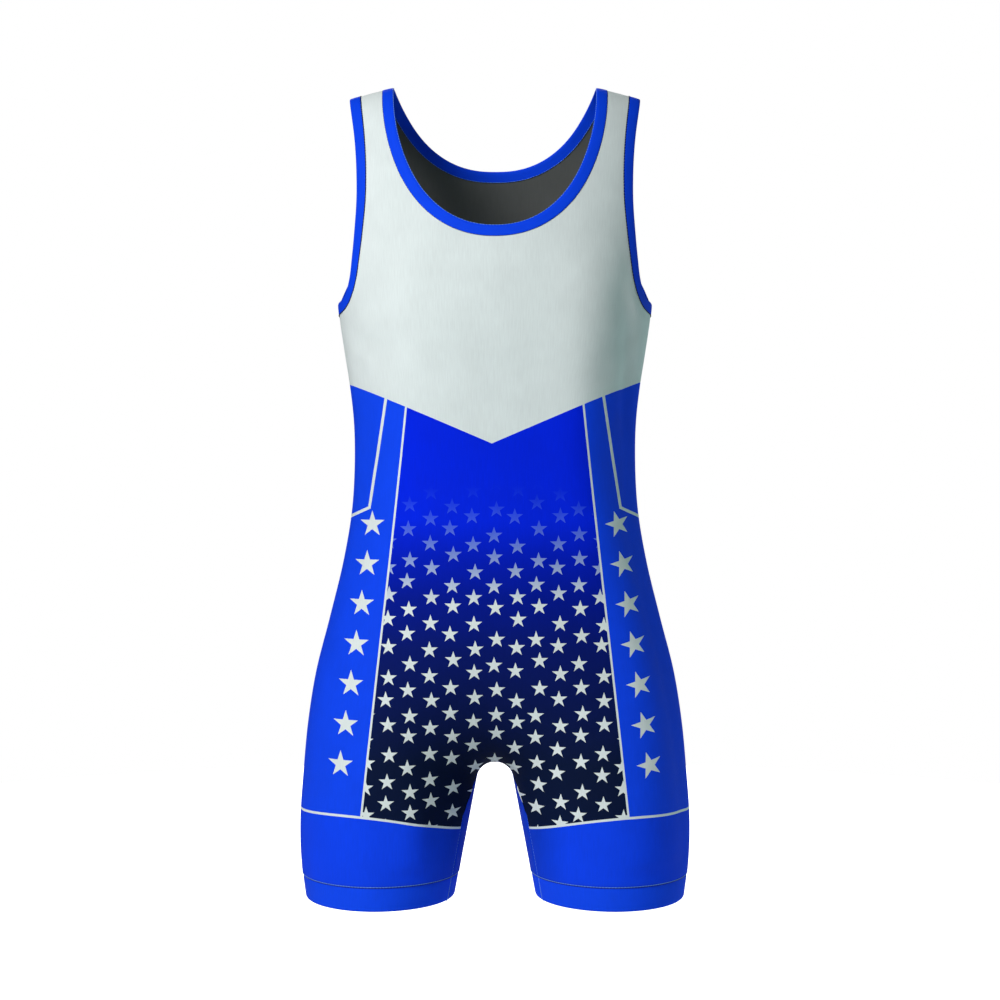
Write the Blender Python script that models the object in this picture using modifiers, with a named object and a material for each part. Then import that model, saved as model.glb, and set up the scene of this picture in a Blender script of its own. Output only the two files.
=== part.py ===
"""Wrestling singlet, filled out as it is worn, with nobody in it.

Run it with blender --background --python part.py, or from Blender's text editor.
Units are metres, +Z is up, the front faces -Y and the wearer's left is +X. The origin lies midway
between the shoulder straps, level with their tops, where the wearer's shoulders carry the garment.

Every cut piece is a thin cloth wall with its own seams:
    front_panel, back_panel     body and thigh, joined at the shoulders and down the sides
    inner_thigh_gusset          a strip from one hem up, through the crotch and down to the other hem
    neck_binding                a folded strip round the neck
    armhole_binding_left/right  folded strips round the armholes
    hem_band_left/right         turned-up bands round the thighs

A place on the cloth is (turn, down). The turn runs from 0 on the centre plane to a quarter turn at
the side. Down is measured over the shoulder's arch and then straight down: it is positive in front
and negative behind.
"""

import math
from typing import NamedTuple

import bmesh
import bpy
import numpy as np

MM = 0.001

# ---- cloth and seams
CLOTH = 1.5 * MM
BINDING_CLOTH = 2.4 * MM  # the panel's edge wrapped by a folded strip
BINDING_PROUD = 0.4 * MM  # how far a binding stands out of the panels beside it
BINDING_WIDTH = 11.5 * MM
HEM_CLOTH = 2.2 * MM  # two layers, turned up
HEM_TUCK = 0.5 * MM  # the band's face lies this far inside the panels' face
SEAM_GAP = 0.3 * MM
SEAM_STEP = 3 * MM  # the last faces before a side or shoulder seam are short, to end square to it

# ---- heights, as drops below the shoulder tops
HEM_EDGE = 822 * MM
HEM_SEAM = 798 * MM
CROTCH = 687 * MM
ARMPIT = 222.5 * MM
COLOUR_TIP = 366 * MM  # the pale chest ends in a point on the centre line
COLOUR_SIDE = 302 * MM  # and here at the side seams
CROTCH_SIDE = 655 * MM  # where a line from the crotch out to the side seam ends
LEG_SPLIT_STARTS = 450 * MM  # the belly starts to part into two thighs
LEG_SPLIT_ENDS = 780 * MM

# ---- shoulders
ARCH = 70 * MM  # height of the arch that a strap makes over the shoulder
SLOPE_STARTS = 88 * MM  # out from here the shoulder falls away
SLOPE_SPAN = 60 * MM
SLOPE_DROP = 13.3 * MM  # how far it has fallen at the strap's outer edge
SLOPE_CURVE = 1.4
SLOPE_KEEPS = 20 * MM  # the slope is whole down to here, and gone at SLOPE_FADES
SLOPE_FADES = 140 * MM

# ---- the gap between the thighs, seen from the front: a round top and two straight sides
GAP_RADIUS = 18.5 * MM
GAP_CENTRE = CROTCH + GAP_RADIUS
GAP_SPLAY = math.radians(79.3)  # where the round top ends, measured from straight up
GUSSET_ANGLE = math.radians(23)  # how far the gusset wraps round the thigh, to front and back

# ---- cross-sections
TORSO_FULLNESS = 2.3  # exponent of the superellipse that a cross-section follows
THIGH_FULLNESS = 2.0
THIGH_RADIUS = 84 * MM


class Section(NamedTuple):
    """Half of the garment's outline at one height, in millimetres."""

    drop: float
    half_width: float
    front_depth: float
    back_depth: float


SECTIONS = [
    Section(drop=0, half_width=176, front_depth=60, back_depth=62),
    Section(drop=50, half_width=171, front_depth=72, back_depth=78),
    Section(drop=100, half_width=167, front_depth=89, back_depth=95),
    Section(drop=150, half_width=163.5, front_depth=104, back_depth=107),
    Section(drop=200, half_width=160.5, front_depth=114, back_depth=113),
    Section(drop=235, half_width=158, front_depth=116, back_depth=113),
    Section(drop=270, half_width=153, front_depth=114, back_depth=108),
    Section(drop=305, half_width=147.5, front_depth=110, back_depth=102),
    Section(drop=340, half_width=143.6, front_depth=106, back_depth=96),
    Section(drop=385, half_width=142.7, front_depth=103, back_depth=92),
    Section(drop=430, half_width=145.3, front_depth=103, back_depth=93),
    Section(drop=480, half_width=153.5, front_depth=105, back_depth=103),
    Section(drop=540, half_width=168, front_depth=108, back_depth=118),
    Section(drop=595, half_width=182, front_depth=109, back_depth=127),
    Section(drop=645, half_width=190, front_depth=108, back_depth=125),
    Section(drop=695, half_width=194.7, front_depth=104, back_depth=114),
    Section(drop=745, half_width=198, front_depth=98, back_depth=102),
    Section(drop=780, half_width=197.3, front_depth=95.5, back_depth=95),
    Section(drop=798, half_width=195.7, front_depth=94, back_depth=92),
    Section(drop=822, half_width=192.5, front_depth=93, back_depth=89),
]


class NeckCut(NamedTuple):
    """A neckline: a bowl that flares a little towards the shoulder."""

    depth: float
    bowl: float
    flare: float
    roundness: float
    corner: float


NECK_CUTS = {
    "front": NeckCut(depth=155 * MM, bowl=95.5 * MM, flare=7 * MM, roundness=2.4, corner=2.2),
    "back": NeckCut(depth=71.5 * MM, bowl=70 * MM, flare=32.5 * MM, roundness=2.6, corner=2.5),
}


class ArmholePoint(NamedTuple):
    """A point of the armhole's finished edge, in millimetres."""

    drop: float
    across: float


ARMHOLES = {
    "front": [
        ArmholePoint(drop=0, across=148),
        ArmholePoint(drop=50, across=140.5),
        ArmholePoint(drop=95, across=137.5),
        ArmholePoint(drop=127, across=137.2),
        ArmholePoint(drop=153, across=139),
        ArmholePoint(drop=181, across=142.6),
        ArmholePoint(drop=204, across=147.5),
        ArmholePoint(drop=216, across=153.3),
        ArmholePoint(drop=222.5, across=158.9),
    ],
    "back": [
        ArmholePoint(drop=0, across=148),
        ArmholePoint(drop=50, across=140.5),
        ArmholePoint(drop=95, across=138),
        ArmholePoint(drop=127, across=138.5),
        ArmholePoint(drop=153, across=141),
        ArmholePoint(drop=181, across=144.6),
        ArmholePoint(drop=204, across=150.8),
        ArmholePoint(drop=216, across=155.8),
        ArmholePoint(drop=222.5, across=158.9),
    ],
}

# ---- mesh density. Half a panel is four blocks of faces: thigh, belly, breast and strap.
NECK_COLUMNS = 6  # the breast's columns that end under the neck binding
STRAP_COLUMNS = 4
ARMHOLE_COLUMNS = 6  # the breast's columns that end under the armhole binding
PANEL_COLUMNS = NECK_COLUMNS + STRAP_COLUMNS + ARMHOLE_COLUMNS
CROTCH_COLUMNS = 3  # the belly's columns that start at the crotch
BELLY_ROWS = 19
BREAST_ROWS = 7
STRAP_ROWS = 14
ROUND_ROWS = 3  # the thigh's rows that start on the round top of the gap
STRAIGHT_ROWS = 7
ROUND_SHARE = 0.5  # how much of the round top the crotch columns take
BINDING_COLUMNS = 2
GUSSET_COLUMNS = 3  # from the gusset's middle to its seam
HEM_ROWS = 2
CURVE_SAMPLES = 160  # points measured along a line before it is spaced evenly

QUARTER = math.pi / 2
ROYAL_BLUE = (0.008, 0.052, 0.78)
PALE_MINT = (0.68, 0.77, 0.74)


class Row(NamedTuple):
    """One row of a sheet's points. Its first point stands in the column named first."""

    first: int
    points: np.ndarray
    material: int = 0


def smooth_rise(low, high, value):
    """0 below low, 1 above high and a very soft rise between them."""
    t = np.clip((value - low) / (high - low), 0, 1)
    return t**3 * (10 - 15 * t + 6 * t * t)


def smooth_lookup(heights, values, height):
    """A smooth curve through a table's column."""
    slopes = np.gradient(values, heights)
    i = np.clip(np.searchsorted(heights, height) - 1, 0, len(heights) - 2)
    span = heights[i + 1] - heights[i]
    t = np.clip((height - heights[i]) / span, 0, 1)
    return (
        values[i] * (1 + 2 * t) * (1 - t) ** 2
        + values[i + 1] * (3 - 2 * t) * t**2
        + span * (slopes[i] * t * (1 - t) ** 2 - slopes[i + 1] * t**2 * (1 - t))
    )


def section_value(column, drop):
    heights = np.array([section.drop for section in SECTIONS]) * MM
    values = np.array([getattr(section, column) for section in SECTIONS]) * MM
    return smooth_lookup(heights, values, drop)


def drop_of(down):
    """Height lost below the strap's top at a place down the cloth."""
    angle = np.abs(down) / ARCH
    straight = ARCH * (1 + angle - QUARTER)
    return np.where(angle < QUARTER, ARCH * (1 - np.cos(angle)), straight)


def down_of(drop):
    """The inverse of drop_of, on the front."""
    angle = np.arccos(np.clip(1 - drop / ARCH, 0, 1))
    return np.where(drop < ARCH, ARCH * angle, drop + ARCH * (QUARTER - 1))


def across_of(turn, drop):
    """Distance from the centre plane. A turn spaces the points evenly round the body."""
    share = np.sin(np.clip(turn, 0, QUARTER)) ** (2 / TORSO_FULLNESS)
    return section_value("half_width", drop) * share


def turn_of(across, drop):
    """The inverse of across_of."""
    share = np.clip(across / section_value("half_width", drop), 0, 1)
    return np.arcsin(share ** (TORSO_FULLNESS / 2))


def places_at(across, drop, facing):
    """Places from their distances across and down the front view."""
    return np.stack(np.broadcast_arrays(turn_of(across, drop), down_of(drop) * facing), axis=-1)


def gap_side(drop):
    """Half the gap between the thighs, along its straight side and on upwards."""
    rise = GAP_CENTRE - drop
    return (GAP_RADIUS - rise * math.cos(GAP_SPLAY)) / math.sin(GAP_SPLAY)


def gap_distance(across, drop):
    """How far a point of the front view lies outside the gap between the thighs."""
    rise = GAP_CENTRE - drop
    beside = np.arctan2(across, rise) > GAP_SPLAY
    straight = across * math.sin(GAP_SPLAY) + rise * math.cos(GAP_SPLAY)
    return np.where(beside, straight, np.hypot(across, rise)) - GAP_RADIUS


def gap_edge(along, distance):
    """(across, drop) at a distance outside the gap: along is 0 at the crotch, 1 where the
    round top ends and 2 at the hem seam."""
    reach = GAP_RADIUS + distance
    angle = min(along, 1) * GAP_SPLAY
    across, drop = reach * math.sin(angle), GAP_CENTRE - reach * math.cos(angle)
    length = max(along - 1, 0) * (HEM_SEAM - SEAM_GAP / 2 - drop)
    return across + length / math.tan(GAP_SPLAY), drop + length


def thigh_middle(drop):
    """Across the cloth, the middle of a thigh."""
    return (section_value("half_width", drop) + gap_side(drop)) / 2


def deepest_at(drop):
    """Across the cloth, where a cross-section is deepest: the torso's middle or a thigh's."""
    return thigh_middle(drop) * smooth_rise(LEG_SPLIT_STARTS, LEG_SPLIT_ENDS, drop)


def cloth_point(turn, down):
    """The cloth's outer face at a place: x, y, z."""
    drop = drop_of(down)
    across = across_of(turn, drop)
    slope = SLOPE_DROP * (np.maximum(across - SLOPE_STARTS, 0) / SLOPE_SPAN) ** SLOPE_CURVE
    fall = slope * (1 - smooth_rise(SLOPE_KEEPS, SLOPE_FADES, drop))

    deepest = deepest_at(drop)
    reach = section_value("half_width", drop) - deepest
    thigh = smooth_rise(LEG_SPLIT_STARTS, LEG_SPLIT_ENDS, drop)
    fullness = TORSO_FULLNESS + (THIGH_FULLNESS - TORSO_FULLNESS) * thigh
    to_side = np.clip((across - deepest) / reach, 0, 1)
    to_gap = np.clip(gap_distance(across, drop) / reach, 0, 1)
    side_curve = (1 - to_side**fullness) ** (1 / fullness)
    gap_curve = np.sqrt(1 - (1 - to_gap) ** 2)
    arch_curve = np.sin(np.minimum(np.abs(down) / ARCH, QUARTER))

    front = section_value("front_depth", drop)
    back = section_value("back_depth", drop)
    depth = np.where(down >= 0, -front, back) * side_curve * gap_curve * arch_curve
    return np.stack(np.broadcast_arrays(across, depth, -drop - fall), axis=-1)


def evenly(places, count, from_seam=False):
    """Places along a line that ends at a seam, spaced evenly over the cloth but for SEAM_STEP."""
    points = cloth_point(places[:, 0], places[:, 1])
    steps = np.linalg.norm(np.diff(points, axis=0), axis=1)
    along = np.concatenate([[0], np.cumsum(steps)])
    start = [0] if from_seam else []
    even = np.linspace(SEAM_STEP * from_seam, along[-1] - SEAM_STEP, count - from_seam)
    at = np.concatenate([start, even, along[-1:]])
    return np.stack([np.interp(at, along, places[:, k]) for k in range(2)], axis=1)


def straight_line(start, end, count, facing):
    """Places on a line that is straight in the front view, out to the side seam."""
    share = np.sin(np.linspace(0, QUARTER, CURVE_SAMPLES))
    across, drop = (start[k] + (end[k] - start[k]) * share for k in range(2))
    return evenly(places_at(across, drop, facing), count)


def neck_edge(facing):
    """The neckline's finished edge, from the centre up to the shoulder seam."""
    cut = NECK_CUTS["front" if facing > 0 else "back"]
    share = np.cos(np.linspace(0, QUARTER, CURVE_SAMPLES)) ** 2
    share[-1] = 0
    bowl = (1 - share**cut.roundness) ** (1 / cut.corner)
    across = cut.bowl * bowl + cut.flare * (1 - share)
    places = places_at(across, share * cut.depth, facing)
    return evenly(places, NECK_COLUMNS + STRAP_ROWS)


def armhole_edge(facing):
    """The armhole's finished edge, from the armpit up to the shoulder seam."""
    table = ARMHOLES["front" if facing > 0 else "back"]
    heights = np.array([point.drop for point in table]) * MM
    values = np.array([point.across for point in table]) * MM
    drops = ARMPIT * np.cos(np.linspace(0, QUARTER, CURVE_SAMPLES)) ** 2
    drops[-1] = 0
    across = smooth_lookup(heights, values, drops)
    across[0] = section_value("half_width", ARMPIT)
    places = places_at(across, drops, facing)
    return evenly(places, ARMHOLE_COLUMNS + STRAP_ROWS, from_seam=True)


def inset(edge, width, outwards):
    """The edge moved over the cloth by a width, down from its opening and outwards or inwards."""
    points = cloth_point(edge[:, 0], edge[:, 1])
    moved = []
    for i, (turn, down) in enumerate(edge):
        along = points[min(i + 1, len(points) - 1)] - points[max(i - 1, 0)]
        if turn < 1e-6:  # the edge crosses the centre plane squarely
            along = np.array([1.0, 0.0, 0.0])
        if turn > QUARTER - 1e-6 or i == len(edge) - 1:  # and so it crosses the side and shoulder
            along = np.array([0.0, 1.0, 0.0])
        nudge = -1e-4 if turn > QUARTER / 2 else 1e-4
        by_turn = (cloth_point(turn + nudge, down) - points[i]) / nudge
        by_down = (cloth_point(turn, down + 1e-5) - points[i]) / 1e-5
        aside = np.cross(np.cross(by_turn, by_down), along)
        step = np.linalg.lstsq(np.stack([by_turn, by_down], axis=1), aside, rcond=None)[0]
        if turn < 1e-6 or turn > QUARTER - 1e-6:
            step[0] = 0.0
        lies = np.array([outwards * np.linalg.norm(by_turn), math.copysign(1, down)])
        step *= math.copysign(1, step @ lies)
        length = width / np.linalg.norm(aside)
        for _ in range(6):
            reached = cloth_point(turn + step[0] * length, down + step[1] * length) - points[i]
            length *= width / np.linalg.norm(reached)
        moved.append((turn + step[0] * length, down + step[1] * length))
    return np.array(moved)


def inset_neck(edge, width):
    return inset(edge, width, outwards=1)


def inset_armhole(edge, width):
    return inset(edge, width, outwards=-1)


def seam_stations():
    """How far along the gap's edge each point of the gusset's seam lies, from crotch to hem."""
    crotch = np.linspace(0, ROUND_SHARE, CROTCH_COLUMNS + 1)
    rest = np.linspace(ROUND_SHARE, 1, ROUND_ROWS + 1)[1:]
    straight = np.linspace(1, 2, STRAIGHT_ROWS + 1)[1:]
    return np.concatenate([crotch, rest, straight])


def gusset_place(along, angle, facing, spare=0.0):
    """A place on the inner thigh, at an angle round it from the gap's edge."""
    drop = gap_edge(along, 0)[1]
    reach = (section_value("half_width", drop) - deepest_at(drop)) * (1 - math.cos(angle))
    across, drop = gap_edge(along, reach + spare)
    return places_at(across, drop, facing)


def thigh_angles():
    """Angles round a thigh, from the gap to the side: the gusset's columns, then the panel's."""
    inner = np.linspace(0, GUSSET_ANGLE, GUSSET_COLUMNS + 1)
    last = math.pi - SEAM_STEP / THIGH_RADIUS
    outer = np.linspace(GUSSET_ANGLE, last, PANEL_COLUMNS - CROTCH_COLUMNS)
    return np.concatenate([inner, outer[1:], [math.pi]])


def thigh_place(angle, drop, facing):
    middle = thigh_middle(drop)
    half = section_value("half_width", drop) - middle
    return places_at(middle - half * np.cos(angle), drop, facing)


def filled(bottom, top, left, right):
    """Rows of places that fill a four-sided block, from its bottom up."""
    u = np.linspace(0, 1, len(bottom))[None, :, None]
    v = np.linspace(0, 1, len(left))[:, None, None]
    rows = (1 - v) * bottom + v * top + (1 - u) * left[:, None] + u * right[:, None]
    ends = (1 - v) * ((1 - u) * bottom[0] + u * bottom[-1])
    return rows - ends - v * ((1 - u) * top[0] + u * top[-1])


def ruled(bottom, top, count):
    """Rows of places between two rows."""
    return filled(bottom, top, *(np.linspace(bottom[k], top[k], count + 1) for k in (0, -1)))


def panel_rows(facing):
    """Rows of places over half a panel, from the hem seam up to the shoulder seam."""
    spare = SEAM_GAP / 2
    neck = inset_neck(neck_edge(facing), BINDING_WIDTH + SEAM_GAP)
    armhole = inset_armhole(armhole_edge(facing), BINDING_WIDTH + SEAM_GAP)
    neck[-1, 1] = armhole[-1, 1] = SEAM_GAP * facing
    inseam = [gusset_place(along, GUSSET_ANGLE, facing, spare) for along in seam_stations()]
    corner_turn, corner_down = inseam[CROTCH_COLUMNS]
    corner_drop = drop_of(corner_down)

    hem = thigh_place(thigh_angles()[GUSSET_COLUMNS:], HEM_SEAM - spare, facing)
    hem[0] = inseam[-1]
    side_end = (section_value("half_width", CROTCH_SIDE), CROTCH_SIDE)
    inner_end = (across_of(corner_turn, corner_drop), corner_drop)
    crotch_side = straight_line(inner_end, side_end, PANEL_COLUMNS - CROTCH_COLUMNS, facing)
    crotch_side[0] = inseam[CROTCH_COLUMNS]
    crotch = np.concatenate([inseam[:CROTCH_COLUMNS], crotch_side])
    tip, side = (0, COLOUR_TIP), (section_value("half_width", COLOUR_SIDE), COLOUR_SIDE)
    colour = straight_line(tip, side, PANEL_COLUMNS, facing)
    strap_foot = np.linspace(neck[NECK_COLUMNS], armhole[ARMHOLE_COLUMNS], STRAP_COLUMNS + 1)
    top = np.concatenate([neck[:NECK_COLUMNS], strap_foot, armhole[:ARMHOLE_COLUMNS][::-1]])
    shoulder = np.linspace(neck[-1], armhole[-1], STRAP_COLUMNS + 1)

    thigh_side = np.linspace(hem[-1], crotch[-1], ROUND_ROWS + STRAIGHT_ROWS + 1)
    thigh = filled(hem, crotch_side, np.array(inseam[:CROTCH_COLUMNS - 1:-1]), thigh_side)
    strap = filled(strap_foot, shoulder, neck[NECK_COLUMNS:], armhole[ARMHOLE_COLUMNS:])
    rows = [Row(CROTCH_COLUMNS, row, 1) for row in thigh[:-1]]
    rows += [Row(0, row, 1) for row in ruled(crotch, colour, BELLY_ROWS)[:-1]]
    rows += [Row(0, row) for row in ruled(colour, top, BREAST_ROWS)]
    rows += [Row(NECK_COLUMNS, row) for row in strap[1:]]
    return rows


def set_material(name, colour, roughness, sheen=0.3):
    material = bpy.data.materials.new(name)
    material.use_nodes = True
    shader = material.node_tree.nodes["Principled BSDF"]
    shader.inputs["Base Color"].default_value = (*colour, 1)
    shader.inputs["Roughness"].default_value = roughness
    shader.inputs["Metallic"].default_value = 0
    shader.inputs["Sheen Weight"].default_value = sheen
    material.diffuse_color = (*colour, 1)
    return material


def sheet_object(name, rows, collection, closed=False, mirrored=False, outward=1):
    """An open sheet through rows of points. outward is -1 where the rows run the other way."""
    mesh = bpy.data.meshes.new(name)
    bm = bmesh.new()
    lines = []
    for row in rows:
        lines.append({row.first + i: bm.verts.new(p) for i, p in enumerate(row.points)})
    uppers = lines[1:] + (lines[:1] if closed else [])
    for row, low, high in zip(rows, lines, uppers):
        for column in low:
            if column + 1 in low and column in high and column + 1 in high:
                corners = (low[column], low[column + 1], high[column + 1], high[column])
                bm.faces.new(corners[::outward]).material_index = row.material
    bm.to_mesh(mesh)
    bm.free()
    mesh.shade_smooth()
    sheet = bpy.data.objects.new(name, mesh)
    collection.objects.link(sheet)
    if mirrored:
        mirror = sheet.modifiers.new("other half", "MIRROR")
        mirror.merge_threshold = 0.02 * MM
    return sheet


def thicken(sheet, thickness, materials, proud=0.0):
    """Gives a sheet its cloth: proud of it by a little, and the rest inwards."""
    for material in materials:
        sheet.data.materials.append(material)
    wall = sheet.modifiers.new("cloth", "SOLIDIFY")
    wall.thickness = thickness
    wall.offset = 2 * proud / thickness - 1
    wall.use_even_offset = True
    return sheet


def make_panel(name, facing, collection, materials):
    """Front or back: body and thighs in one piece, from the hem seams to the shoulder seams."""
    rows = []
    for first, places, material in panel_rows(facing):
        points = cloth_point(places[:, 0], places[:, 1])
        points[:, 1] = facing * np.minimum(points[:, 1] * facing, -SEAM_GAP / 2)
        rows.append(Row(first, points, material))
    panel = sheet_object(name, rows, collection, mirrored=True, outward=facing)
    return thicken(panel, CLOTH, materials)


def make_gusset(collection, material):
    """The strip between the thighs, level with the panels' face on both sides."""
    rows = []
    for along in seam_stations():
        line = []
        for column in range(-GUSSET_COLUMNS, GUSSET_COLUMNS + 1):
            angle = GUSSET_ANGLE * abs(column) / GUSSET_COLUMNS
            spare = -SEAM_GAP / 2 if abs(column) == GUSSET_COLUMNS else 0
            line.append(cloth_point(*gusset_place(along, angle, -1 if column > 0 else 1, spare)))
        rows.append(Row(0, line))
    gusset = sheet_object("inner_thigh_gusset", rows, collection, mirrored=True)
    return thicken(gusset, CLOTH, [material])


def binding_rows(edge_of, inset_of, side=1):
    """The strip between the finished and the sewn edge, from the front round to the back."""
    rows = []
    for facing in (1, -1):
        finished = edge_of(facing)
        sewn = inset_of(finished, BINDING_WIDTH)
        share = np.linspace(0, 1, BINDING_COLUMNS + 1)[:, None]
        strip = [end + (start - end) * share for start, end in zip(sewn, finished)]
        points = [cloth_point(*places.T) * (side, 1, 1) for places in strip]
        half = [Row(0, line) for line in points]
        rows += half if facing > 0 else half[-2::-1]
    return rows


def make_neck_binding(collection, material):
    rows = binding_rows(neck_edge, inset_neck)
    binding = sheet_object("neck_binding", rows, collection, mirrored=True)
    return thicken(binding, BINDING_CLOTH, [material], BINDING_PROUD)


def make_armhole_binding(name, side, collection, material):
    rows = binding_rows(armhole_edge, inset_armhole, side)[:-1]  # it ends where it starts
    binding = sheet_object(name, rows, collection, closed=True, outward=-side)
    return thicken(binding, BINDING_CLOTH, [material], BINDING_PROUD)


def make_hem_band(name, side, collection, material):
    """A turned-up band round the thigh, its face tucked just inside the panels' face."""
    rows = []
    angles = thigh_angles()
    drops = np.linspace(HEM_SEAM + SEAM_GAP / 2, HEM_EDGE, HEM_ROWS + 1)
    for facing, part in ((1, angles), (-1, angles[-2:0:-1])):
        for angle in part:
            line = cloth_point(*thigh_place(angle, drops, facing).T)
            middle = thigh_middle(drops)
            tuck = 1 - HEM_TUCK / (section_value("half_width", drops) - middle)
            line[:, 0] = side * (middle + (line[:, 0] - middle) * tuck)
            line[:, 1] *= tuck
            rows.append(Row(0, line))
    band = sheet_object(name, rows, collection, closed=True, outward=-side)
    return thicken(band, HEM_CLOTH, [material])


def clear_scene():
    for old in list(bpy.data.objects):
        bpy.data.objects.remove(old, do_unlink=True)


def main():
    clear_scene()
    collection = bpy.data.collections.new("wrestling_singlet")
    bpy.context.scene.collection.children.link(collection)
    pale = set_material("pale_knit", PALE_MINT, 0.6)
    blue = set_material("royal_knit", ROYAL_BLUE, 0.55)
    trim = set_material("binding_knit", ROYAL_BLUE, 0.5)

    make_panel("front_panel", 1, collection, (pale, blue))
    make_panel("back_panel", -1, collection, (pale, blue))
    make_gusset(collection, blue)
    make_neck_binding(collection, trim)
    for name, side in (("left", 1), ("right", -1)):
        make_armhole_binding(f"armhole_binding_{name}", side, collection, trim)
        make_hem_band(f"hem_band_{name}", side, collection, trim)


main()
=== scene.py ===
import math

import bmesh
import bpy
import numpy as np
from mathutils import Matrix, Vector
from mathutils.kdtree import KDTree


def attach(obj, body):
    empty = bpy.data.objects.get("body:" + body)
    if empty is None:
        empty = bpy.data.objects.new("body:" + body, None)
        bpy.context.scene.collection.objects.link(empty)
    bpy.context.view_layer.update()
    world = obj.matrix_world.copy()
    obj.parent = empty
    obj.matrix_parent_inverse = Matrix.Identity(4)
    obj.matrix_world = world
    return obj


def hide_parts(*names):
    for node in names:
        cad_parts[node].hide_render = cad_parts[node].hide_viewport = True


# A wrestling singlet, filled out as it is worn, with nobody in it.
# Metres, +Z up, the front faces -Y and the wearer's left is +X.

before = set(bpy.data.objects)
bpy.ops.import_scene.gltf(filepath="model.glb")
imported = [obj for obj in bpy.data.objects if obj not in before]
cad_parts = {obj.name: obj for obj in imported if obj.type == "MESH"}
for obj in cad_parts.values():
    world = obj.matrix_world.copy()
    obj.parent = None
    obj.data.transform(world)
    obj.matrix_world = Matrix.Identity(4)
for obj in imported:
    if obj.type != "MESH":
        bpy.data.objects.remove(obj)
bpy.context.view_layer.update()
mm = 0.001
quarter = math.pi / 2
print("frame loaded:", *sorted(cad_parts))

# The filled-out body that all the cloth lies on. A place on the cloth is (turn, down):
# turn runs from 0 at the centre to a quarter turn at the side, and down is measured
# over the shoulder's arch and on down, plus in front and minus behind.

body = {
    "hemEdge": 822 * mm,  # drops below the strap tops
    "hemSeam": 798 * mm,
    "crotch": 687 * mm,
    "armpit": 222.5 * mm,
    "printTip": 366 * mm,
    "printSide": 302 * mm,
    "crotchSide": 655 * mm,
    "splits": (450 * mm, 780 * mm),  # the belly parts into two thighs
    "arch": 70 * mm,  # a strap arches over the shoulder
    "slopeStarts": 88 * mm,
    "slopeSpan": 60 * mm,
    "slopeDrop": 13.3 * mm,
    "slopeCurve": 1.4,
    "slopeFades": (20 * mm, 140 * mm),
    "gapRadius": 18.5 * mm,  # between the thighs: a round top and two straight sides
    "gapSplay": math.radians(79.3),
    "gussetAngle": math.radians(23),  # the insert's half width, as an angle round the thigh
    "crotchAngle": math.radians(8),
    "gussetWidens": (0.85, 1.4),  # from here to here along the gap
    "torsoFullness": 2.3,
    "thighFullness": 2.0,
}
gapCentre = body["crotch"] + body["gapRadius"]

sections = [  # drop, half width, front depth and back depth, in millimetres
    (0, 176, 60, 62), (50, 171, 72, 78), (100, 167, 89, 95), (150, 163.5, 104, 107),
    (200, 160.5, 114, 113), (235, 158, 116, 113), (270, 153, 114, 108), (305, 147.5, 110, 102),
    (340, 143.6, 106, 96), (385, 142.7, 103, 92), (430, 145.3, 103, 93), (480, 153.5, 105, 103),
    (540, 168, 108, 118), (595, 182, 109, 127), (645, 190, 108, 125), (695, 194.7, 104, 114),
    (745, 198, 98, 102), (780, 197.3, 95.5, 95), (798, 195.7, 94, 92), (822, 192.5, 93, 89),
]
sectionDrops, halfWidths, frontDepths, backDepths = np.array(sections).T * mm

necklines = {  # how deep, half how wide, how much wider at the shoulder, and two exponents
    1: {"depth": 155 * mm, "bowl": 95.5 * mm, "flare": 7 * mm, "roundness": 2.4, "corner": 2.2},
    -1: {"depth": 71.5 * mm, "bowl": 70 * mm, "flare": 32.5 * mm, "roundness": 2.6, "corner": 2.5},
}
armholes = {  # drop: distance from the centre, in millimetres, for the front and for the back
    1: {0: 148, 50: 140.5, 95: 137.5, 127: 137.2, 153: 138.8, 181: 141.4, 204: 144.6, 212: 146.9,
        217: 149.2, 220: 152.0, 221.8: 155.8, 222.5: 158.9},
    -1: {0: 148, 50: 140.5, 95: 138, 127: 138.5, 153: 141, 181: 147.2, 192.5: 151.7, 203.4: 155.45,
         207.6: 156.65, 212.2: 157.82, 215.9: 158.54, 218.8: 158.91, 220.8: 159.07,
         221.9: 159.105, 222.5: 159.09},
}


def smoothRise(low, high, value):
    t = np.clip((value - low) / (high - low), 0, 1)
    return t**3 * (10 - 15 * t + 6 * t * t)


def smoothLookup(heights, values, height):
    slopes = np.gradient(values, heights)
    i = np.clip(np.searchsorted(heights, height) - 1, 0, len(heights) - 2)
    span = heights[i + 1] - heights[i]
    t = np.clip((height - heights[i]) / span, 0, 1)
    ends = values[i] * (1 + 2 * t) * (1 - t) ** 2 + values[i + 1] * (3 - 2 * t) * t**2
    return ends + span * (slopes[i] * t * (1 - t) ** 2 - slopes[i + 1] * t**2 * (1 - t))


def halfWidth(drop):
    return smoothLookup(sectionDrops, halfWidths, drop)


def dropOf(down):
    angle = np.abs(down) / body["arch"]
    straight = body["arch"] * (1 + angle - quarter)
    return np.where(angle < quarter, body["arch"] * (1 - np.cos(angle)), straight)


def downOf(drop):
    angle = np.arccos(np.clip(1 - drop / body["arch"], 0, 1))
    return np.where(drop < body["arch"], body["arch"] * angle, drop + body["arch"] * (quarter - 1))


def acrossOf(turn, drop):
    share = np.sin(np.clip(turn, 0, quarter)) ** (2 / body["torsoFullness"])
    return halfWidth(drop) * share


def turnOf(across, drop):
    share = np.clip(across / halfWidth(drop), 0, 1)
    return np.arcsin(share ** (body["torsoFullness"] / 2))


def placesAt(across, drop, facing):
    return np.stack(np.broadcast_arrays(turnOf(across, drop), downOf(drop) * facing), axis=-1)


def gapSide(drop):
    splay = body["gapSplay"]
    return (body["gapRadius"] - (gapCentre - drop) * math.cos(splay)) / math.sin(splay)


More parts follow.
